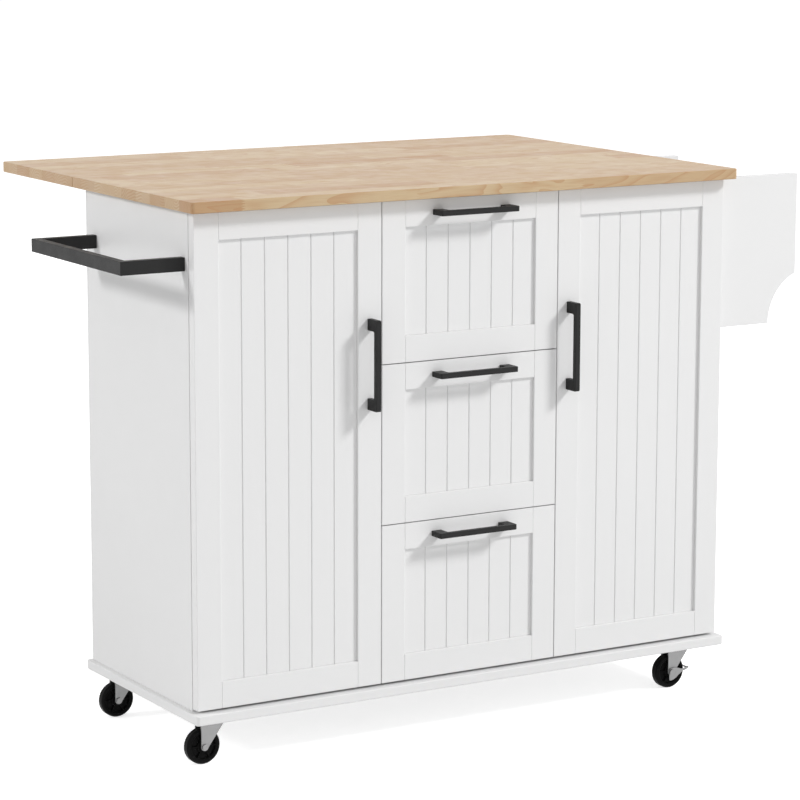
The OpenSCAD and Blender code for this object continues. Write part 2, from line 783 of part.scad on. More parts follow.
// Moulded wheel: a rounded tread, ribbed sides and a hub that fills the fork
module wheel(sx, y) {
    r = wheel_d / 2;
    w = wheel_w / 2;
    hub = fork_gap - hub_side;
    color("black") caster(sx, y)
        translate([-trail, 0, axle_z]) rotate([90, 0, 0])
            difference() {
                rotate_extrude($fn = 96)
                    polygon([[axle_r + running, -hub], [8, -hub], [9, -w + 1.5], [r - wheel_rim, -w + 1.5],
                        [r - wheel_rim + 1.5, -w], [r - 2.5, -w], [r, -w + 3.5], [r, w - 3.5], [r - 2.5, w],
                        [r - wheel_rim + 1.5, w], [r - wheel_rim, w - 1.5], [9, w - 1.5], [8, hub],
                        [axle_r + running, hub]]);
                for (side = [0, 1])
                    mirror([0, 0, side]) translate([0, 0, w - 5]) linear_extrude(5) wheel_pockets();
            }
}

// Pressed brake lever: two wing-shaped cheeks on the axle, outside the fork, and a pedal in front
module brake(sx, y) {
    cheek_y = fork_gap + fork_t + brake_play;
    color(steel) caster(sx, y) translate([-trail, 0, axle_z]) {
        for (side = [-1, 1])
            translate([0, side * (cheek_y + brake_t / 2) + brake_t / 2, 0])
                rotate([90, 0, 0]) linear_extrude(brake_t)
                    difference() {
                        polygon([[-5, 5], [-2, 7], [6, 7.5], [13, 6], [20, 3.5], [26, 3.5],
                            [brake_reach - 1, 6.5], [brake_reach, 5.5], [brake_reach, 3.5], [30, 0.5],
                            [25, -0.5], [15, -6.6], [9, -11.5], [3, -14.6], [-2, -15.5], [-5, -14]]);
                        circle(r = axle_r + running);
                    }
        translate([brake_reach - pedal_l, -cheek_y - brake_t / 2, 3.5])
            cube([pedal_l - 0.5, 2 * cheek_y + brake_t, brake_t]);
    }
}

module front_left_fork() fork(-1, caster_y0, plain_axle);
module front_right_fork() fork(1, caster_y0, brake_axle);
module rear_left_fork() fork(-1, caster_y1, plain_axle);
module rear_right_fork() fork(1, caster_y1, brake_axle);
module front_left_wheel() wheel(-1, caster_y0);
module front_right_wheel() wheel(1, caster_y0);
module rear_left_wheel() wheel(-1, caster_y1);
module rear_right_wheel() wheel(1, caster_y1);
module front_right_brake() brake(1, caster_y0);
module rear_right_brake() brake(1, caster_y1);

// ---------------------------------------------------------------- all nodes

base_board();
left_side();
right_side();
left_divider();
right_divider();
top_stretchers();
back_panel();
mounting_rails();
left_shelf();
right_shelf();
shelf_pins();
fixed_top();
drop_leaf();
leaf_hinge_plates();
leaf_hinge_flaps();
bracket_wall_legs();
bracket_leaf_legs();
bracket_braces();
left_door_frame();
left_door_panel();
left_door_handle();
left_hinge_cups();
right_door_frame();
right_door_panel();
right_door_handle();
right_hinge_cups();
hinge_arms();
lower_drawer_frame();
lower_drawer_panel();
lower_drawer_handle();
lower_drawer_box();
lower_drawer_rails();
middle_drawer_frame();
middle_drawer_panel();
middle_drawer_handle();
middle_drawer_box();
middle_drawer_rails();
upper_drawer_frame();
upper_drawer_panel();
upper_drawer_handle();
upper_drawer_box();
upper_drawer_rails();
drawer_runners();
towel_bar();
rack_front_panel();
rack_rear_panel();
rack_shelf();
rack_guard();
rack_rod();
caster_plates();
front_left_fork();
front_right_fork();
rear_left_fork();
rear_right_fork();
front_left_wheel();
front_right_wheel();
rear_left_wheel();
rear_right_wheel();
front_right_brake();
rear_right_brake();
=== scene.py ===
import json
import math

import bmesh
import bpy
from mathutils import Matrix, Vector


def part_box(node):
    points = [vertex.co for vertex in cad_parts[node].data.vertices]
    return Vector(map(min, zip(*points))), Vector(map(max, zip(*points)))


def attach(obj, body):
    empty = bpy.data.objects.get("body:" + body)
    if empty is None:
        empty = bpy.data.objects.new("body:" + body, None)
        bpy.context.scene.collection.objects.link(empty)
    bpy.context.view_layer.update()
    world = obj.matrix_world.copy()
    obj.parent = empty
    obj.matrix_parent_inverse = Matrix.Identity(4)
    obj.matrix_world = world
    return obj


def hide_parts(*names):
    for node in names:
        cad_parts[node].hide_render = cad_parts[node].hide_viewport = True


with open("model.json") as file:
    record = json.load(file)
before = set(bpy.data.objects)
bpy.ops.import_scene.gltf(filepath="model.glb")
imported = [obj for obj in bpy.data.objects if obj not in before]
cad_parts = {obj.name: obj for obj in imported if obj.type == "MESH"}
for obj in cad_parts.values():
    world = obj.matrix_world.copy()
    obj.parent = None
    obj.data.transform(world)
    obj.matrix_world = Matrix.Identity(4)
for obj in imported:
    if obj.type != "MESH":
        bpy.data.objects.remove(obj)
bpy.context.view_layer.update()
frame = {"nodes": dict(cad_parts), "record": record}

nodes = frame["nodes"]


# ---------------------------------------------------------------- node trees

def put(tree, kind, inputs=(), **settings):
    """Adds a node, sets it up and feeds its inputs with values or sockets."""
    made = tree.nodes.new(kind)
    for name, value in settings.items():
        setattr(made, name, value)
    for key, value in dict(inputs).items():
        if isinstance(value, bpy.types.NodeSocket):
            tree.links.new(value, made.inputs[key])
        else:
            made.inputs[key].default_value = value
    return made


def calc(tree, operation, *values):
    """The result of a Math node."""
    return put(tree, "ShaderNodeMath", enumerate(values), operation=operation).outputs[0]


def mix_number(tree, share, low, high):
    """low where share is 0 and high where it is 1."""
    return put(tree, "ShaderNodeMix", {0: share, 2: low, 3: high}).outputs[0]


def mix_colour(tree, share, low, high):
    """The colour low where share is 0 and high where it is 1."""
    return put(tree, "ShaderNodeMix", {0: share, 6: low, 7: high}, data_type="RGBA").outputs[2]


def spread(tree, value, low, high, from_low=0.0, from_high=1.0):
    """Maps a value from one range to another."""
    return put(tree, "ShaderNodeMapRange", {0: value, 1: from_low, 2: from_high, 3: low, 4: high}).outputs[0]


def object_coordinates(tree):
    """A point's place in metres, in the frame that all pieces share."""
    return put(tree, "ShaderNodeTexCoord").outputs["Object"]


def parts_of(tree, vector):
    """The x, y and z of a vector."""
    return put(tree, "ShaderNodeSeparateXYZ", {0: vector}).outputs


def vector_of(tree, **parts):
    """A vector from its parts X, Y and Z, which are 0 unless they are given."""
    return put(tree, "ShaderNodeCombineXYZ", parts).outputs[0]


def stretched(tree, where, scale):
    """A place multiplied along each axis, which draws a pattern out along the axis of the lowest scale."""
    return put(tree, "ShaderNodeMapping", {"Vector": where, "Scale": scale}).outputs[0]


def noise(tree, where, scale, detail=3.0, roughness=0.5, distortion=0.0):
    """A noise with its number of octaves, how strong the fine ones are, and how much it is bent."""
    inputs = {"Vector": where, "Scale": scale, "Detail": detail, "Roughness": roughness,
              "Distortion": distortion}
    return put(tree, "ShaderNodeTexNoise", inputs).outputs[0]


def shader_group(name, inputs, outputs):
    """An empty shader group. inputs maps a name to its default, outputs a name to its kind."""
    tree = bpy.data.node_groups.new(name, "ShaderNodeTree")
    for label, default in inputs.items():
        kind = "NodeSocketColor" if isinstance(default, tuple) else "NodeSocketFloat"
        socket = tree.interface.new_socket(label, in_out="INPUT", socket_type=kind)
        socket.default_value = default
    for label, kind in outputs.items():
        tree.interface.new_socket(label, in_out="OUTPUT", socket_type="NodeSocket" + kind)
    return tree, put(tree, "NodeGroupInput").outputs, put(tree, "NodeGroupOutput").inputs


def close(tree, ends, **values):
    """Ties a value to each of the group's outputs and returns the group."""
    for label, socket in values.items():
        tree.links.new(socket, ends[label.replace("_", " ")])
    return tree


# ---------------------------------------------------------------- effects

noise_low, noise_high = 0.3, 0.7    # most of a noise's values lie between these
relief = 0.0004                     # height in metres of a full step in a bump


def sprayed_skin():
    """Paint or foil: a fine pebbled surface, a slight drift in tone and in gloss."""
    cloud_scale, gloss_scale = 5.0, 45.0
    tree, given, ends = shader_group(
        "sprayed skin",
        {"Color": (0.8, 0.8, 0.8, 1), "Grain size": 0.003, "Grain depth": 0.15, "Drift": 0.02,
         "Gloss low": 0.35, "Gloss high": 0.45},
        {"Color": "Color", "Roughness": "Float", "Normal": "Vector"})
    where = object_coordinates(tree)
    grain = noise(tree, where, calc(tree, "DIVIDE", 1.0, given["Grain size"]), 2.0)
    cloud = noise(tree, where, cloud_scale)
    level = calc(tree, "MULTIPLY_ADD", calc(tree, "SUBTRACT", cloud, 0.5), given["Drift"], 1.0)
    toned = put(tree, "ShaderNodeVectorMath", {0: given["Color"], "Scale": level}, operation="SCALE")
    gloss = spread(tree, noise(tree, where, gloss_scale, 4.0), given["Gloss low"], given["Gloss high"],
                   noise_low, noise_high)
    bump = put(tree, "ShaderNodeBump", {"Strength": given["Grain depth"], "Distance": relief,
                                        "Height": grain})
    return close(tree, ends, Color=toned.outputs[0], Roughness=gloss, Normal=bump.outputs[0])


def brushed_skin():
    """Rolled and plated sheet: fine streaks along x and blotches of gloss."""
    streak_scale, blotch_scale = (40.0, 1500.0, 1500.0), 90.0
    dull, most_dull = (0.2, 0.2, 0.21, 1), 0.16
    tree, given, ends = shader_group(
        "brushed skin",
        {"Color": (0.6, 0.6, 0.6, 1), "Streak depth": 0.1, "Gloss low": 0.3, "Gloss high": 0.45},
        {"Color": "Color", "Roughness": "Float", "Normal": "Vector"})
    where = object_coordinates(tree)
    streak = noise(tree, stretched(tree, where, streak_scale), 1.0)
    blotch = noise(tree, where, blotch_scale)
    colour = mix_colour(tree, spread(tree, blotch, 0.0, most_dull), given["Color"], dull)
    both = calc(tree, "ADD", calc(tree, "MULTIPLY", streak, 0.5), calc(tree, "MULTIPLY", blotch, 0.5))
    gloss = spread(tree, both, given["Gloss low"], given["Gloss high"], noise_low, noise_high)
    bump = put(tree, "ShaderNodeBump", {"Strength": given["Streak depth"], "Distance": relief / 2,
                                        "Height": streak})
    return close(tree, ends, Color=colour, Roughness=gloss, Normal=bump.outputs[0])


def stave_rows(tree, given, x, y, z):
    """How many staves across and how many pieces along a point lies. Where pieces meet they zigzag."""
    rows_begin = 0.0065             # where a row begins, in metres in front of the frame's middle
    finger_half, finger_slope = 0.002, 4.0
    most_offset, row_seed = 3.0, 3.7
    rows = calc(tree, "DIVIDE", calc(tree, "ADD", y, rows_begin), given["Stave width"])
    row_key = vector_of(tree, X=calc(tree, "FLOOR", rows), Y=row_seed)
    offset = put(tree, "ShaderNodeTexWhiteNoise", {"Vector": row_key}, noise_dimensions="3D").outputs[0]
    zigzag = calc(tree, "PINGPONG", calc(tree, "ADD", y, z), finger_half)
    fingered = calc(tree, "ADD", x, calc(tree, "MULTIPLY", zigzag, finger_slope))
    along = calc(tree, "ADD", calc(tree, "DIVIDE", fingered, given["Stave length"]),
                 calc(tree, "MULTIPLY", offset, most_offset))
    return rows, along


def piece_chance(tree, rows, along):
    """A random number and a random vector for each piece of each stave."""
    piece_seed = 0.5
    key = vector_of(tree, X=calc(tree, "FLOOR", rows), Y=calc(tree, "FLOOR", along), Z=piece_seed)
    made = put(tree, "ShaderNodeTexWhiteNoise", {"Vector": key}, noise_dimensions="3D")
    return made.outputs[0], made.outputs[1]


def long_grain(tree, where, chance):
    """Bands that wander along a stave, fine fibres, and a broad figure, each from 0 to 1."""
    farthest = (7.0, 7.0, 7.0)      # metres by which chance moves a piece through the noise
    wander_scale, fibre_scale = (1.9, 11.0, 11.0), (26.0, 900.0, 900.0)
    band_count, band_edge = 9.0, 3.0
    shift = put(tree, "ShaderNodeVectorMath", {0: chance, 1: farthest}, operation="MULTIPLY").outputs[0]
    local = put(tree, "ShaderNodeVectorMath", {0: where, 1: shift}, operation="ADD").outputs[0]
    wander = stretched(tree, local, wander_scale)
    figure = noise(tree, wander, 2.0, detail=2.0, distortion=0.8)
    bands = calc(tree, "POWER", calc(tree, "FRACT", calc(tree, "MULTIPLY", figure, band_count)), band_edge)
    fibre = noise(tree, stretched(tree, local, fibre_scale), 1.0, detail=2.0)
    broad = noise(tree, wander, 0.9, detail=1.0)
    return bands, fibre, broad


def end_grain(tree, given, where, z, rows, chance):
    """Growth rings round a heart that lies above or below each piece, and pores, each from 0 to 1."""
    heart_aside, heart_away = 0.03, 0.07    # the most, in metres
    bend_scale, bend, ring_scale, pore_scale = 18.0, 0.02, 70.0, 1400.0
    chance_y, chance_z = parts_of(tree, chance)[1:3]
    across = calc(tree, "MULTIPLY_ADD", calc(tree, "SUBTRACT", calc(tree, "FRACT", rows), 0.5),
                  given["Stave width"], spread(tree, chance_y, -heart_aside, heart_aside))
    above = calc(tree, "ADD", calc(tree, "SUBTRACT", z, given["Middle height"]),
                 spread(tree, chance_z, -heart_away, heart_away))
    from_heart = vector_of(tree, Y=across, Z=above)
    bend_noise = {"Vector": from_heart, "Scale": bend_scale, "Detail": 2.0}
    bent = put(tree, "ShaderNodeTexNoise", bend_noise).outputs[1]
    bent = put(tree, "ShaderNodeVectorMath", {0: bent, "Scale": bend}, operation="SCALE").outputs[0]
    rounds = put(tree, "ShaderNodeVectorMath", {0: from_heart, 1: bent}, operation="ADD").outputs[0]
    rings = put(tree, "ShaderNodeTexWave",
                {"Vector": rounds, "Scale": ring_scale, "Distortion": 3.0, "Detail": 2.0},
                wave_type="RINGS", rings_direction="X").outputs[1]
    pores = noise(tree, stretched(tree, where, (0.0, 1.0, 1.0)), pore_scale, detail=1.0)
    return rings, pores


def on_end_face(tree):
    """1 on a face that looks along x, 0 elsewhere."""
    facing_x = parts_of(tree, put(tree, "ShaderNodeTexCoord").outputs["Normal"])[0]
    return calc(tree, "GREATER_THAN", calc(tree, "ABSOLUTE", facing_x), 0.6)


def stave_seam(tree, given, rows, along):
    """1 in the middle of the thin line where staves and pieces meet, 0 beside it."""
    seam_half = 0.011               # share of a stave's width
    length_in_widths = calc(tree, "DIVIDE", given["Stave length"], given["Stave width"])
    edge = calc(tree, "MINIMUM", calc(tree, "PINGPONG", rows, 0.5),
                calc(tree, "MULTIPLY", calc(tree, "PINGPONG", along, 0.5), length_in_widths))
    return spread(tree, edge, 1.0, 0.0, 0.0, seam_half)


def stave_wood():
    """Staves along x with finger-jointed ends: long grain outside, growth rings on the two end faces."""
    tone_power, tone_share, broad_share = 1.4, 0.8, 0.25
    band_colour, band_share, ring_share = (0.42, 0.20, 0.08, 1), 0.6, 0.9
    fibre_colour, fibre_share = (0.38, 0.20, 0.10, 1), 0.30
    seam_colour, seam_share = (0.30, 0.17, 0.09, 1), 0.35
    fine_height, grain_height, seam_depth = 0.35, 0.25, 0.6
    gloss_scale, gloss_low, gloss_high = 30.0, 0.36, 0.52
    tree, given, ends = shader_group(
        "stave wood",
        {"Stave width": 0.052, "Stave length": 0.32, "Middle height": 0.911,
         "Light": (0.590, 0.460, 0.282, 1), "Warm": (0.442, 0.263, 0.13, 1), "Contrast": 1.0},
        {"Color": "Color", "Roughness": "Float", "Height": "Float"})
    where = object_coordinates(tree)
    x, y, z = parts_of(tree, where)
    rows, along = stave_rows(tree, given, x, y, z)
    chance, chance_vector = piece_chance(tree, rows, along)
    bands, fibre, broad = long_grain(tree, where, chance_vector)
    rings, pores = end_grain(tree, given, where, z, rows, chance_vector)
    seam = stave_seam(tree, given, rows, along)
    end_face = on_end_face(tree)
    grain = mix_number(tree, end_face, bands, calc(tree, "MULTIPLY", rings, ring_share))
    fine = mix_number(tree, end_face, fibre, pores)
    # a tone for each piece, then the grain, the fibres and the seams
    tone = calc(tree, "MULTIPLY", calc(tree, "POWER", chance, tone_power), given["Contrast"])
    tone = calc(tree, "ADD", calc(tree, "MULTIPLY", tone, tone_share),
                calc(tree, "MULTIPLY", broad, broad_share))
    colour = mix_colour(tree, tone, given["Light"], given["Warm"])
    colour = mix_colour(tree, calc(tree, "MULTIPLY", grain, band_share), colour, band_colour)
    colour = mix_colour(tree, spread(tree, fine, 0.0, fibre_share, 0.45, 0.8), colour, fibre_colour)
    colour = mix_colour(tree, calc(tree, "MULTIPLY", seam, seam_share), colour, seam_colour)
    height = calc(tree, "ADD", calc(tree, "MULTIPLY", fine, fine_height),
                  calc(tree, "MULTIPLY", grain, grain_height))
    height = calc(tree, "SUBTRACT", height, calc(tree, "MULTIPLY", seam, seam_depth))
    gloss = spread(tree, noise(tree, where, gloss_scale), gloss_low, gloss_high, noise_low, noise_high)
    return close(tree, ends, Color=colour, Roughness=gloss, Height=height)


skin = sprayed_skin()
brushed = brushed_skin()
staves = stave_wood()


# ---------------------------------------------------------------- finishes

def finish(name, group, values, bump=None, **fixed):
    """A material whose colour, gloss and relief come from one effect, with plain values set on its shader."""
    made = bpy.data.materials.new(name)
    made.use_nodes = True
    tree = made.node_tree
    shader = tree.nodes["Principled BSDF"]
    effect = put(tree, "ShaderNodeGroup", node_tree=group)
    for label, value in values.items():
        effect.inputs[label].default_value = value
    for label, value in fixed.items():
        shader.inputs[label.replace("_", " ")].default_value = value
    tree.links.new(effect.outputs["Color"], shader.inputs["Base Color"])
    tree.links.new(effect.outputs["Roughness"], shader.inputs["Roughness"])
    if bump:
        normal = put(tree, "ShaderNodeBump", {"Strength": bump, "Distance": relief,
                                              "Height": effect.outputs["Height"]}).outputs[0]
    else:
        normal = effect.outputs["Normal"]
    tree.links.new(normal, shader.inputs["Normal"])
    return made


def grey(level, warmth=0.0):
    """A grey whose blue is lower by a share of warmth."""
    return (level, level, level * (1 - warmth), 1)


front_paint = finish(
    "front paint", skin,
    {"Color": grey(0.80), "Grain size": 0.0022, "Grain depth": 0.12, "Gloss low": 0.34, "Gloss high": 0.42})
cabinet_paint = finish(
    "cabinet foil", skin,
    {"Color": grey(0.80), "Grain size": 0.0012, "Grain depth": 0.18, "Gloss low": 0.40, "Gloss high": 0.50})
drawer_foil = finish(
    "drawer foil", skin,
    {"Color": grey(0.80, 0.02), "Grain size": 0.0016, "Grain depth": 0.2, "Gloss low": 0.48,
     "Gloss high": 0.6})
powder_coat = finish(
    "powder coat", skin,
    {"Color": grey(0.013), "Grain size": 0.0007, "Grain depth": 0.35, "Drift": 0.1, "Gloss low": 0.42,
     "Gloss high": 0.52},
    Specular_IOR_Level=0.24)
wheel_plastic = finish(
    "wheel plastic", skin,
    {"Color": grey(0.0072), "Grain size": 0.0009, "Grain depth": 0.15, "Drift": 0.2, "Gloss low": 0.30,
     "Gloss high": 0.42},
    Specular_IOR_Level=0.04)
zinc = finish(
    "zinc plate", brushed,
    {"Color": grey(0.30), "Streak depth": 0.12, "Gloss low": 0.34, "Gloss high": 0.5},
    Metallic=1.0)
worktop_wood = finish("lacquered staves", staves, {}, bump=0.18, Coat_Weight=0.12, Coat_Roughness=0.25)


by_slot = {
    "cabinet_white": cabinet_paint,
    "front_white": front_paint,
    "drawer_board": drawer_foil,
    "worktop_wood": worktop_wood,
    "black_metal": powder_coat,
    "zinc_steel": zinc,
    "black_wheel": wheel_plastic,
}
slot_of = {part["node"]: part["material_slot"] for part in frame["record"]["subparts"]}
body_of = {node: body for body, members in frame["record"]["behaviour"]["bodies"].items() for node in members}
for node, slot in slot_of.items():
    for held in nodes[node].material_slots:
        held.material = by_slot[slot]


def link(name, data):
    """A new object for a mesh, a lamp or a camera, at the origin."""
    made = bpy.data.objects.new(name, data)
    bpy.context.scene.collection.objects.link(made)
    return made


def keep(piece, body, slot):
    """Ties a finished piece to the body it moves with and to the finish it takes."""
    if not piece.data.materials:
        piece.data.materials.append(by_slot[slot])
    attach(piece, body)
    return piece


# ---------------------------------------------------------------- eased copies of the outer pieces

weld = 3e-6                         # metres
flat_turn = math.radians(0.3)       # faces that turn less than this are one face
sharp_turn = math.radians(30)       # edges that turn more than this are rounded
bevel_steps = 3


def eased(node, radius):
    """A copy of a node with its edges rounded by a radius in mm, which stands for the node."""
    work = bmesh.new()
    work.from_mesh(nodes[node].data)
    bmesh.ops.remove_doubles(work, verts=work.verts, dist=weld)
    bmesh.ops.dissolve_limit(work, angle_limit=flat_turn, verts=work.verts, edges=work.edges)
    mesh = bpy.data.meshes.new(node + "_eased")
    work.to_mesh(mesh)
    work.free()
    for layer in ("custom_normal", "sharp_face"):
        if layer in mesh.attributes:
            mesh.attributes.remove(mesh.attributes[layer])
    mesh.shade_smooth()
    mesh.set_sharp_from_angle(angle=sharp_turn)
    mesh.materials.clear()
    piece = link(mesh.name, mesh)
    rounding = piece.modifiers.new("rounded edges", "BEVEL")
    rounding.width = radius / 1000
    rounding.segments = bevel_steps
    rounding.limit_method = "ANGLE"
    rounding.angle_limit = sharp_turn
    rounding.harden_normals = True
    rounding.use_clamp_overlap = True
    keep(piece, body_of[node], slot_of[node])
    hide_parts(node)


corner_steps, edge_steps = 12, 4
square_corner = 0.2                 # mm by which a square corner's radius exceeds that of the board's edges


def board_outline(middle, half, corner, edge, rounded):
    """Points round a board in its middle plane, each with the direction it faces. All in metres."""
    outline = []
    for quarter, (sx, sy) in enumerate(((1, 1), (-1, 1), (-1, -1), (1, -1))):
        if rounded[sy > 0]:
            radius, steps = corner, corner_steps
        else:
            radius, steps = edge + square_corner / 1000, edge_steps
        heart = middle + Vector((sx * (half.x - radius), sy * (half.y - radius), 0))
        for step in range(steps + 1):
            turn = math.radians(90 * (quarter + step / steps))
            way = Vector((math.cos(turn), math.sin(turn), 0))
            outline.append((heart + way * radius, way))
    return outline


def rounded_board(node, corner, edge, rounded=(True, True)):
    """A flat board in a node's box, which stands for the node. corner is the radius of its upright
    corners, at the front and at the back as rounded says, and edge that of all its edges, in mm."""
    low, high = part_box(node)
    middle, half = (low + high) / 2, (high - low) / 2
    edge = edge / 1000
    outline = board_outline(middle, half, corner / 1000, edge, rounded)
    leans = [(-1, math.radians(90 * step / edge_steps - 90)) for step in range(edge_steps + 1)]
    leans += [(1, math.radians(90 * step / edge_steps)) for step in range(edge_steps + 1)]
    points, normals, faces = [], [], []
    for side, lean in leans:
        rise = Vector((0, 0, side * (half.z - edge) + edge * math.sin(lean)))
        for place, way in outline:
            points.append(place - way * edge * (1 - math.cos(lean)) + rise)
            normals.append(way * math.cos(lean) + Vector((0, 0, math.sin(lean))))
    count = len(outline)
    for first in range(0, len(points) - count, count):
        for i in range(count):
            after = (i + 1) % count
            faces.append((first + i, first + after, first + count + after, first + count + i))
    faces += [tuple(range(len(points) - count, len(points))), tuple(reversed(range(count)))]
    mesh = bpy.data.meshes.new(node + "_eased")
    mesh.from_pydata(points, [], faces)
    mesh.shade_smooth()
    mesh.normals_split_custom_set_from_vertices(normals)
    piece = keep(link(mesh.name, mesh), body_of[node], slot_of[node])
    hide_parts(node)


# Radii in mm. The leaf and the fixed top are square where they meet.
board_corner, base_edge, top_edge = 6, 1.8, 1.4
rounded_board("base_board", board_corner, base_edge)
rounded_board("fixed_top", board_corner, top_edge, rounded=(True, False))
rounded_board("drop_leaf", board_corner, top_edge, rounded=(False, True))

door_names = ("left_door", "right_door")
drawer_names = ("lower_drawer", "middle_drawer", "upper_drawer")
caster_names = ("front_left", "front_right", "rear_left", "rear_right")

# Radius of each piece's edges in mm. Boards already have a flat there, which this blends in.
edges = {"left_side": 0.25, "right_side": 0.25,
         "towel_bar": 0.4, "rack_front_panel": 0.3, "rack_rear_panel": 0.3, "rack_shelf": 0.25,
         "rack_guard": 0.25, "rack_rod": 0.6, "bracket_wall_legs": 0.4, "bracket_leaf_legs": 0.4,
         "bracket_braces": 0.5, "leaf_hinge_plates": 0.3, "leaf_hinge_flaps": 0.3, "hinge_arms": 0.5,
         "caster_plates": 0.4}
for name in door_names + drawer_names:
    edges.update({name + "_frame": 0.25, name + "_panel": 0.3, name + "_handle": 0.8})
for name in ("left_hinge_cups", "right_hinge_cups"):
    edges[name] = 0.3
for name in caster_names:
    edges.update({name + "_fork": 0.5, name + "_wheel": 0.5})
for name in ("front_right_brake", "rear_right_brake"):
    edges[name] = 0.4
for node, radius in edges.items():
    eased(node, radius)


# ---------------------------------------------------------------- screws and nails

def field(tree, kind, name, inputs, default=None):
    """Adds an input socket of a geometry tree, with its default, and keeps its identifier in inputs."""
    socket = tree.interface.new_socket(name, in_out="INPUT", socket_type="NodeSocket" + kind)
    if default is not None:
        socket.default_value = default
    inputs[name] = socket.identifier


def screw_tree():
    """Heads with a cross recess on points. Each point's way is the direction it faces, its size the
    head's radius. The head's own sizes are shares of that radius."""
    head_sides, full_turn, recess_lift = 14, 6.283, 0.9
    tree = bpy.data.node_groups.new("screw heads", "GeometryNodeTree")
    inputs = {}
    field(tree, "Geometry", "Geometry", inputs)
    field(tree, "Float", "Height", inputs, 0.45)
    field(tree, "Float", "Dome", inputs, 0.62)
    field(tree, "Float", "Recess width", inputs, 0.2)
    field(tree, "Float", "Recess length", inputs, 1.05)
    field(tree, "Int", "Seed", inputs, 4)
    field(tree, "Material", "Material", inputs)
    tree.interface.new_socket("Geometry", in_out="OUTPUT", socket_type="NodeSocketGeometry")
    given = put(tree, "NodeGroupInput").outputs
    height, long, short = given["Height"], given["Recess length"], given["Recess width"]
    head = put(tree, "GeometryNodeMeshCone", {"Vertices": head_sides, "Side Segments": 1,
                                              "Radius Top": given["Dome"], "Radius Bottom": 1.0,
                                              "Depth": height}).outputs["Mesh"]
    cut = put(tree, "GeometryNodeMeshBoolean", {"Mesh 1": head}, operation="DIFFERENCE", solver="EXACT")
    for wide, deep in ((long, short), (short, long)):
        bar = put(tree, "GeometryNodeMeshCube", {"Size": vector_of(tree, X=wide, Y=deep, Z=height)})
        place = vector_of(tree, Z=calc(tree, "MULTIPLY", height, recess_lift))
        slot = put(tree, "GeometryNodeTransform", {"Geometry": bar.outputs["Mesh"], "Translation": place})
        tree.links.new(slot.outputs[0], cut.inputs["Mesh 2"])
    way = put(tree, "GeometryNodeInputNamedAttribute", {"Name": "way"}, data_type="FLOAT_VECTOR").outputs[0]
    size = put(tree, "GeometryNodeInputNamedAttribute", {"Name": "size"}, data_type="FLOAT").outputs[0]
    facing = put(tree, "FunctionNodeAlignRotationToVector", {"Vector": way}, axis="Z").outputs[0]
    spin = put(tree, "FunctionNodeRandomValue", {2: 0.0, 3: full_turn, "Seed": given["Seed"]},
               data_type="FLOAT").outputs[1]
    turn = put(tree, "FunctionNodeAxisAngleToRotation", {"Axis": (0.0, 0.0, 1.0), "Angle": spin}).outputs[0]
    facing = put(tree, "FunctionNodeRotateRotation", {"Rotation": facing, "Rotate By": turn},
                 rotation_space="LOCAL").outputs[0]
    placed = put(tree, "GeometryNodeInstanceOnPoints",
                 {"Points": given["Geometry"], "Instance": cut.outputs[0], "Rotation": facing,
                  "Scale": vector_of(tree, X=size, Y=size, Z=size)}).outputs[0]
    real = put(tree, "GeometryNodeRealizeInstances", {"Geometry": placed}).outputs[0]
    done = put(tree, "GeometryNodeSetMaterial", {"Geometry": real, "Material": given["Material"]}).outputs[0]
    tree.links.new(done, put(tree, "NodeGroupOutput").inputs[0])
    return tree, inputs


def grown(name, tree, inputs, values, mesh):
    """Runs a geometry tree on a mesh and returns the result as a plain mesh object."""
    seed = link(name, mesh)
    modifier = seed.modifiers.new(name, "NODES")
    modifier.node_group = tree
    for label, value in values.items():
        modifier[inputs[label]] = value
    bpy.context.view_layer.update()
    graph = bpy.context.evaluated_depsgraph_get()
    made = bpy.data.meshes.new_from_object(seed.evaluated_get(graph), depsgraph=graph)
    seed.modifiers.remove(modifier)
    seed.data = made
    made.name = name
    return seed


screws, screw_inputs = screw_tree()
cabinet_depth = 395                 # mm from the faces of the fronts to the back panel's rear face
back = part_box("back_panel")
middle_x, back_y = (back[0].x + back[1].x) / 2, back[1].y


def at(x, y, z):
    """A place in the cabinet's own frame: mm, x = 0 in the middle and y = 0 at the faces of the fronts."""
    return (middle_x + x / 1000, back_y + (y - cabinet_depth) / 1000, z / 1000)


def reach(node):
    """A node's lowest and highest corners in that frame, in mm."""
    corners = []
    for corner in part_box(node):
        x, y, z = corner * 1000
        corners.append(Vector((x - middle_x * 1000, y - back_y * 1000 + cabinet_depth, z)))
    return corners


def middle_of(node):
    """The middle of a node's box in that frame, in mm."""
    low, high = reach(node)
    return (low + high) / 2


def fasten(name, body, slot, places):
    """Screw heads of one finish on one body. Each place is a head's middle, the way it faces and its
    radius in mm."""
    mesh = bpy.data.meshes.new(name)
    mesh.from_pydata([at(*place[0]) for place in places], [], [])
    for label, kind, field_name, values in (
            ("way", "FLOAT_VECTOR", "vector", [part for place in places for part in place[1]]),
            ("size", "FLOAT", "value", [place[2] / 1000 for place in places])):
        mesh.attributes.new(label, kind, "POINT").data.foreach_set(field_name, values)
    return keep(grown(name, screws, screw_inputs, {"Material": by_slot[slot]}, mesh), body, slot)


sides = (-1, 1)
both_ways = (-1, 1)
down, rearward = (0, 0, -1), (0, 1, 0)

# what the heads sit on, in mm
inner_x, bay_x = reach("right_side")[0].x, reach("right_divider")[0].x
board_xs = [middle_of(board).x for board in ("left_side", "left_divider", "right_divider", "right_side")]
base_under, top_under = reach("base_board")[0].z, reach("fixed_top")[0].z
fronts_rear = reach("right_door_frame")[1].y
drawer_pitch = reach("middle_drawer_frame")[0].z - reach("lower_drawer_frame")[0].z

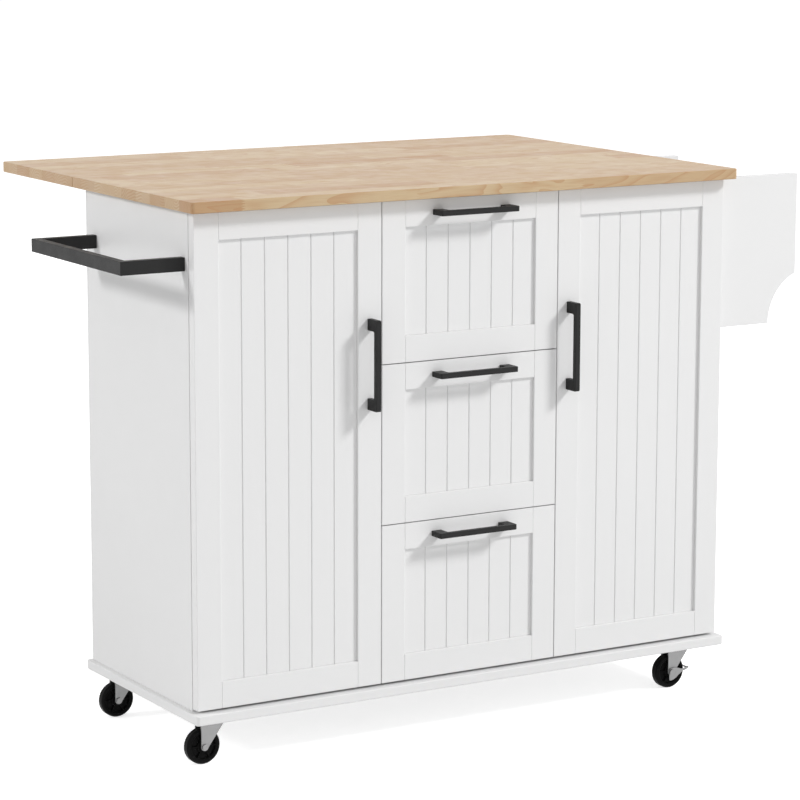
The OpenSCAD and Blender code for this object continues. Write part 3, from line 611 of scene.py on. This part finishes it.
# thicknesses of what is screwed on, in mm
hinge_plate, caster_plate, leaf_plate, runner_wall, box_board, bracket_leg = 4, 2.5, 1.5, 1.2, 12, 2

# where the screws go, in mm
hinge_heights = (192, 804.5)
hinge_plate_y, hinge_plate_half = 53, 16
runner_ys, runner_middle = (45, 190, 335), 177.5
caster_x, caster_ys, caster_hole = 461.5, (33, 354), 15
leaf_hinge_xs, leaf_hinge_half = (-430, -140, 140, 430), 20
plate_hole_y, flap_hole_y, leaf_axis_y = 404.5, 438, 418.5
bar_end_in = 7
rack_heights, base_ys = (670, 770), (110, 200, 290)
nail_xs, nail_zs = range(-450, 451, 100), (100, 894)
board_nail_zs = range(190, 811, 124)
wall_leg_x, wall_leg_holes = 275, (872, 812)
leaf_leg_x, leaf_leg_holes = 302, (32, 150, 262)
handle_half = 65.5
cup_x, cup_flange_y, cup_hole = 489.5, 19.2, 22.5
box_hole_xs, box_hole_ups = (-110, 110), (70, 165)
rail_x, rail_up, rail_ys = 151.3, 80.5, (70, 300)

# radius of the heads that hold each of these, in mm
head = {"hinge": 3.6, "runner": 3.2, "caster": 3.2, "leaf hinge": 3.0, "towel bar": 4.5, "rack": 4.0,
        "base": 3.8, "back": 2.4, "bracket": 3.4, "handle": 4.2, "drawer box": 3.6, "drawer rail": 3.0}

fasten("cabinet_screws", "cabinet", "zinc_steel", [
    *[((s * (inner_x - hinge_plate), hinge_plate_y, z + dz * hinge_plate_half), (-s, 0, 0), head["hinge"])
      for s in sides for z in hinge_heights for dz in both_ways],
    *[((s * (bay_x - runner_wall), y, runner_middle + i * drawer_pitch), (-s, 0, 0), head["runner"])
      for s in sides for i in range(len(drawer_names)) for y in runner_ys],
    *[((s * caster_x + dx * caster_hole, y + dy * caster_hole, base_under - caster_plate), down,
       head["caster"]) for s in sides for y in caster_ys for dx in both_ways for dy in both_ways],
    *[((x + dx * leaf_hinge_half, plate_hole_y, top_under - leaf_plate), down, head["leaf hinge"])
      for x in leaf_hinge_xs for dx in both_ways],
    *[((-inner_x, y, middle_of("towel_bar").z), (1, 0, 0), head["towel bar"])
      for y in (reach("towel_bar")[0].y + bar_end_in, reach("towel_bar")[1].y - bar_end_in)],
    *[((inner_x, middle_of(panel).y, z), (-1, 0, 0), head["rack"])
      for panel in ("rack_front_panel", "rack_rear_panel") for z in rack_heights],
    *[((x, y, base_under), down, head["base"]) for x in board_xs for y in base_ys],
])
fasten("back_panel_nails", "cabinet", "zinc_steel", [
    *[((x, cabinet_depth, z), rearward, head["back"]) for x in nail_xs for z in nail_zs],
    *[((x, cabinet_depth, z), rearward, head["back"]) for x in board_xs for z in board_nail_zs],
])
fasten("bracket_screws", "cabinet", "black_metal", [
    ((s * wall_leg_x, cabinet_depth + bracket_leg, z), rearward, head["bracket"])
    for s in sides for z in wall_leg_holes])
fasten("leaf_hinge_screws", "leaf", "zinc_steel", [
    ((x + dx * leaf_hinge_half, flap_hole_y, top_under - leaf_plate), down, head["leaf hinge"])
    for x in leaf_hinge_xs for dx in both_ways])
fasten("leaf_bracket_screws", "leaf", "black_metal", [
    ((s * leaf_leg_x, leaf_axis_y + y, top_under - bracket_leg), down, head["bracket"])
    for s in sides for y in leaf_leg_holes])
for s, name in zip(sides, door_names):
    handle = middle_of(name + "_handle")
    fasten(name + "_screws", name, "zinc_steel", [
        *[((s * cup_x, cup_flange_y, z + dz * cup_hole), rearward, head["hinge"])
          for z in hinge_heights for dz in both_ways],
        *[((handle.x, fronts_rear, handle.z + dz * handle_half), rearward, head["handle"])
          for dz in both_ways]])
for name in drawer_names:
    low, handle = reach(name + "_frame")[0].z, middle_of(name + "_handle")
    fasten(name + "_screws", name, "zinc_steel", [
        *[((dx * handle_half, fronts_rear, handle.z), rearward, head["handle"]) for dx in both_ways],
        *[((x, fronts_rear + box_board, low + up), rearward, head["drawer box"])
          for x in box_hole_xs for up in box_hole_ups],
        *[((s * rail_x, y, low + rail_up), (s, 0, 0), head["drawer rail"]) for s in sides for y in rail_ys]])


# ---------------------------------------------------------------- studio

white = (1, 1, 1, 1)


def lamp(name, towards, distance, size, watts):
    """A square lamp that lies towards the given direction from the island's middle and looks back at it.
    Distance and size are in metres. Gloss shows the pale surroundings and not the lamp."""
    aim = Vector((0, 0, 0.45))
    data = bpy.data.lights.new(name, "AREA")
    data.size = size
    data.energy = watts
    made = link(name, data)
    made.location = aim + Vector(towards).normalized() * distance
    made.rotation_euler = (-Vector(towards)).to_track_quat("-Z", "Y").to_euler()
    made.visible_glossy = False


def seen_directly(tree):
    """1 for what the camera sees, and for what gloss and glass show, 0 for light on the island."""
    rays = put(tree, "ShaderNodeLightPath").outputs
    return calc(tree, "MAXIMUM", calc(tree, "MAXIMUM", rays["Is Camera Ray"], rays["Is Glossy Ray"]),
                rays["Is Transmission Ray"])


def studio():
    """Four lamps, and a world that looks white and lights the island more softly."""
    sky_on_island, sky_seen = 0.475, 1.0
    lamp("key lamp", (0.608, -0.516, 0.603), distance=12.0, size=2.0, watts=880)
    lamp("second lamp", (-0.864, 0.196, 0.465), distance=12.0, size=1.5, watts=462)
    lamp("soft front lamp", (-0.25, -0.93, 0.27), distance=6.0, size=3.5, watts=24)
    lamp("soft rear lamp", (0.05, 0.97, 0.24), distance=6.0, size=3.5, watts=42)
    world = bpy.data.worlds.new("studio")
    bpy.context.scene.world = world
    world.use_nodes = True
    tree = world.node_tree
    backdrop = tree.nodes["Background"]
    backdrop.inputs[0].default_value = white
    tree.links.new(mix_number(tree, seen_directly(tree), sky_on_island, sky_seen), backdrop.inputs[1])


def floor():
    """A pale floor that looks white away from the island and keeps its shadow."""
    half_width, tone, roughness, glow = 30, (0.7, 0.7, 0.7, 1), 0.9, 0.7
    mesh = bpy.data.meshes.new("floor")
    made = bmesh.new()
    bmesh.ops.create_grid(made, x_segments=1, y_segments=1, size=half_width)
    made.to_mesh(mesh)
    made.free()
    plane = link("floor", mesh)
    material = bpy.data.materials.new("pale floor")
    material.use_nodes = True
    tree = material.node_tree
    shader = tree.nodes["Principled BSDF"]
    shader.inputs["Base Color"].default_value = tone
    shader.inputs["Roughness"].default_value = roughness
    shader.inputs["Specular IOR Level"].default_value = 0.0
    shader.inputs["Emission Color"].default_value = white
    tree.links.new(calc(tree, "MULTIPLY", seen_directly(tree), glow), shader.inputs["Emission Strength"])
    # clear from below, so that the underside can be looked at
    below = put(tree, "ShaderNodeNewGeometry").outputs["Backfacing"]
    clear = put(tree, "ShaderNodeBsdfTransparent").outputs[0]
    both = put(tree, "ShaderNodeMixShader", {0: below, 1: shader.outputs[0], 2: clear}).outputs[0]
    tree.links.new(both, tree.nodes["Material Output"].inputs["Surface"])
    mesh.materials.append(material)


def photograph_camera():
    """The picture was taken level with its lens shifted. This camera has no shift: it stands, turns and
    tilts so that the island's edges come closest to where the picture has them."""
    sensor_width, picture_width, focal_length = 36.0, 800.0, 3101.704    # mm, pixels, pixels
    place = (-2.717686, -4.637006, 1.467041)
    turn, tilt, roll = math.radians(-30.683), math.radians(10.158), math.radians(0.128)
    data = bpy.data.cameras.new("camera")
    data.sensor_width = sensor_width
    data.lens = sensor_width * focal_length / picture_width
    data.clip_end = 100.0
    camera = link("camera", data)
    camera.location = place
    camera.rotation_euler = (Matrix.Rotation(turn, 4, "Z") @ Matrix.Rotation(math.pi / 2 - tilt, 4, "X")
                             @ Matrix.Rotation(roll, 4, "Z")).to_euler()
    bpy.context.scene.camera = camera


studio()
floor()
photograph_camera()
bpy.context.scene.view_settings.view_transform = "Standard"
